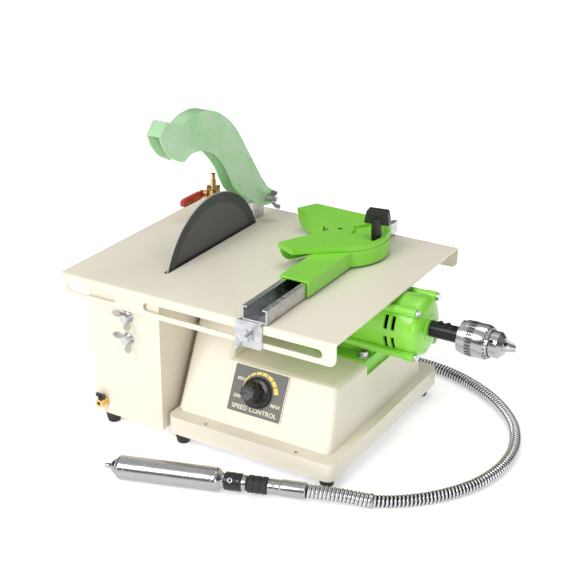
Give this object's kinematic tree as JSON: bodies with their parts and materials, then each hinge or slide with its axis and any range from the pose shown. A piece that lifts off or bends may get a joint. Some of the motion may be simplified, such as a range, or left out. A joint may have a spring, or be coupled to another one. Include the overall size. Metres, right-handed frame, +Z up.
{
  "type": "cabbing machine",
  "caption": "Bench lapidary saw and grinder: a double-ended motor drives a water-fed blade under a sliding fence and guard, a keyed chuck and a flexible shaft with a handpiece.",
  "frame": {"origin": "on the floor under the middle of the table top", "axes": "+X to the right along the spindle towards the chuck, +Y to the back, +Z up"},
  "size_m": [0.489, 0.4173, 0.356],
  "materials": {
    "cream_paint": "warm cream enamel, lightly orange-peeled",
    "green_paint": "lime green enamel on castings",
    "zinc_plate": "zinc plated steel",
    "bright_steel": "ground bright steel",
    "core_steel": "laminated electrical steel",
    "black_oxide": "blackened steel",
    "chrome": "polished chrome",
    "blade_steel": "steel disc with a sintered diamond rim",
    "brass": "machined brass",
    "copper": "enamelled copper winding",
    "carbon": "pressed carbon",
    "black_rubber": "black rubber",
    "black_plastic": "moulded black plastic",
    "red_vinyl": "dipped red vinyl",
    "clear_green": "translucent green moulding",
    "label_print": "printed grey plate with a pale border",
    "circuit_board": "green circuit board with parts",
    "hose_metal": "wound strip steel sheath"
  },
  "bodies": {
    "frame": {"base_shell": "cream_paint", "bottom_plate": "zinc_plate", "cover_screws": "zinc_plate", "rubber_feet": "black_rubber", "water_tank": "cream_paint", "drain_cock": "brass", "table_top": "cream_paint", "lock_nuts": "zinc_plate", "motor_housing": "green_paint", "front_end_cap": "green_paint", "rear_end_cap": "green_paint", "through_bolts": "zinc_plate", "mount_bolts": "zinc_plate", "stator_core": "core_steel", "field_coils": "copper", "carbon_brushes": "carbon", "ball_bearings": "bright_steel", "bearing_support": "zinc_plate", "shaft_seal": "black_rubber", "speed_label": "label_print", "potentiometer": "zinc_plate", "control_board": "circuit_board", "cable_gland": "black_plastic", "water_valve": "brass", "spray_pipe": "brass", "guard_bracket": "zinc_plate", "guard_pivot_bolt": "zinc_plate", "flex_hose": "hose_metal", "drive_fitting": "bright_steel", "hose_ferrule": "chrome", "handpiece_barrel": "chrome"},
    "spindle": {"motor_shaft": "bright_steel", "armature_core": "core_steel", "commutator": "copper", "cooling_fan": "black_plastic", "chuck_adaptor": "black_oxide", "chuck_body": "chrome", "blade_flanges": "bright_steel", "saw_blade": "blade_steel", "blade_nut": "bright_steel"},
    "sleeve": {"chuck_sleeve": "chrome"},
    "jaw_1": {"chuck_jaw_1": "chrome"},
    "jaw_2": {"chuck_jaw_2": "chrome"},
    "jaw_3": {"chuck_jaw_3": "chrome"},
    "guard": {"blade_guard": "clear_green"},
    "guard_nut": {"guard_wing_nut": "zinc_plate"},
    "valve_handle": {"valve_lever": "red_vinyl"},
    "drain_tap": {"drain_handle": "black_plastic"},
    "rail": {"rail_channel": "zinc_plate", "rail_clamps": "zinc_plate"},
    "front_bolt": {"front_clamp_bolt": "zinc_plate"},
    "rear_bolt": {"rear_clamp_bolt": "zinc_plate"},
    "guide": {"miter_guide": "green_paint"},
    "fence": {"miter_fence": "green_paint"},
    "clamp_knob": {"tee_knob": "black_plastic"},
    "speed_dial": {"speed_knob": "black_plastic"},
    "tank_bolt_1": {"tank_wing_bolt_1": "zinc_plate"},
    "tank_bolt_2": {"tank_wing_bolt_2": "zinc_plate"},
    "tool_collet": {"handpiece_chuck": "bright_steel"},
    "tool_grip": {"handpiece_grip": "black_plastic"}
  },
  "joints": [
    {"name": "spindle_spin", "type": "hinge", "parent": "frame", "child": "spindle", "pos_m": [0.1, 0.005, 0.143], "axis": [1, 0, 0], "continuous": true},
    {"name": "chuck_sleeve_turn", "type": "hinge", "parent": "spindle", "child": "sleeve", "pos_m": [0.264, 0.005, 0.143], "axis": [1, 0, 0], "range_deg": [-810, 0]},
    {"name": "jaw_1_slide", "type": "slide", "parent": "spindle", "child": "jaw_1", "axis": [0.9744, 0.225, 0], "range_m": [-0.009, 0]},
    {"name": "jaw_2_slide", "type": "slide", "parent": "spindle", "child": "jaw_2", "axis": [0.9744, -0.1125, 0.1948], "range_m": [-0.009, 0]},
    {"name": "jaw_3_slide", "type": "slide", "parent": "spindle", "child": "jaw_3", "axis": [0.9744, -0.1125, -0.1948], "range_m": [-0.009, 0]},
    {"name": "guard_lift", "type": "hinge", "parent": "frame", "child": "guard", "pos_m": [-0.073, 0.112, 0.208], "axis": [1, 0, 0], "range_deg": [-20, 34]},
    {"name": "guard_nut_turn", "type": "hinge", "parent": "frame", "child": "guard_nut", "pos_m": [-0.058, 0.112, 0.208], "axis": [1, 0, 0], "range_deg": [-90, 90]},
    {"name": "valve_turn", "type": "hinge", "parent": "frame", "child": "valve_handle", "pos_m": [-0.146, 0.092, 0.204], "axis": [1, 0, 0], "range_deg": [-90, 0]},
    {"name": "drain_turn", "type": "hinge", "parent": "frame", "child": "drain_tap", "pos_m": [-0.126, -0.152, 0.036], "axis": [0, 0, 1], "range_deg": [0, 90]},
    {"name": "rail_travel", "type": "slide", "parent": "frame", "child": "rail", "axis": [1, 0, 0], "range_m": [-0.025, 0.06]},
    {"name": "front_bolt_turn", "type": "hinge", "parent": "rail", "child": "front_bolt", "pos_m": [0.073, -0.1526, 0.165], "axis": [0, -1, 0], "range_deg": [-90, 0]},
    {"name": "rear_bolt_turn", "type": "hinge", "parent": "rail", "child": "rear_bolt", "pos_m": [0.073, 0.1526, 0.165], "axis": [0, 1, 0], "range_deg": [-90, 0]},
    {"name": "guide_travel", "type": "slide", "parent": "rail", "child": "guide", "axis": [0, 1, 0], "range_m": [-0.075, 0.035]},
    {"name": "fence_swing", "type": "hinge", "parent": "guide", "child": "fence", "pos_m": [0.06, 0.07, 0.2], "axis": [0, 0, 1], "range_deg": [-38, 10]},
    {"name": "clamp_knob_turn", "type": "hinge", "parent": "guide", "child": "clamp_knob", "pos_m": [0.105, 0.073, 0.215], "axis": [0, 0, 1], "range_deg": [-180, 0]},
    {"name": "speed_turn", "type": "hinge", "parent": "frame", "child": "speed_dial", "pos_m": [0.059, -0.10964, 0.0745], "axis": [0, 0.9026, -0.4305], "range_deg": [-150, 150]},
    {"name": "tank_bolt_1_turn", "type": "hinge", "parent": "frame", "child": "tank_bolt_1", "pos_m": [-0.086, -0.1463, 0.1455], "axis": [0, -1, 0], "range_deg": [-90, 0]},
    {"name": "tank_bolt_2_turn", "type": "hinge", "parent": "frame", "child": "tank_bolt_2", "pos_m": [-0.086, -0.1463, 0.119], "axis": [0, -1, 0], "range_deg": [-90, 0]},
    {"name": "collet_spin", "type": "hinge", "parent": "frame", "child": "tool_collet", "pos_m": [-0.03643, -0.22874, 0.013], "axis": [-0.9521, -0.3057, 0], "continuous": true},
    {"name": "grip_turn", "type": "hinge", "parent": "frame", "child": "tool_grip", "pos_m": [0.10639, -0.18288, 0.013], "axis": [-0.9521, -0.3057, 0], "range_deg": [-45, 45]}
  ],
  "couplings": [
    {"joint": "jaw_1_slide", "follows": "chuck_sleeve_turn", "m_per_rad": 0.00063},
    {"joint": "jaw_2_slide", "follows": "chuck_sleeve_turn", "m_per_rad": 0.00063},
    {"joint": "jaw_3_slide", "follows": "chuck_sleeve_turn", "m_per_rad": 0.00063}
  ]
}
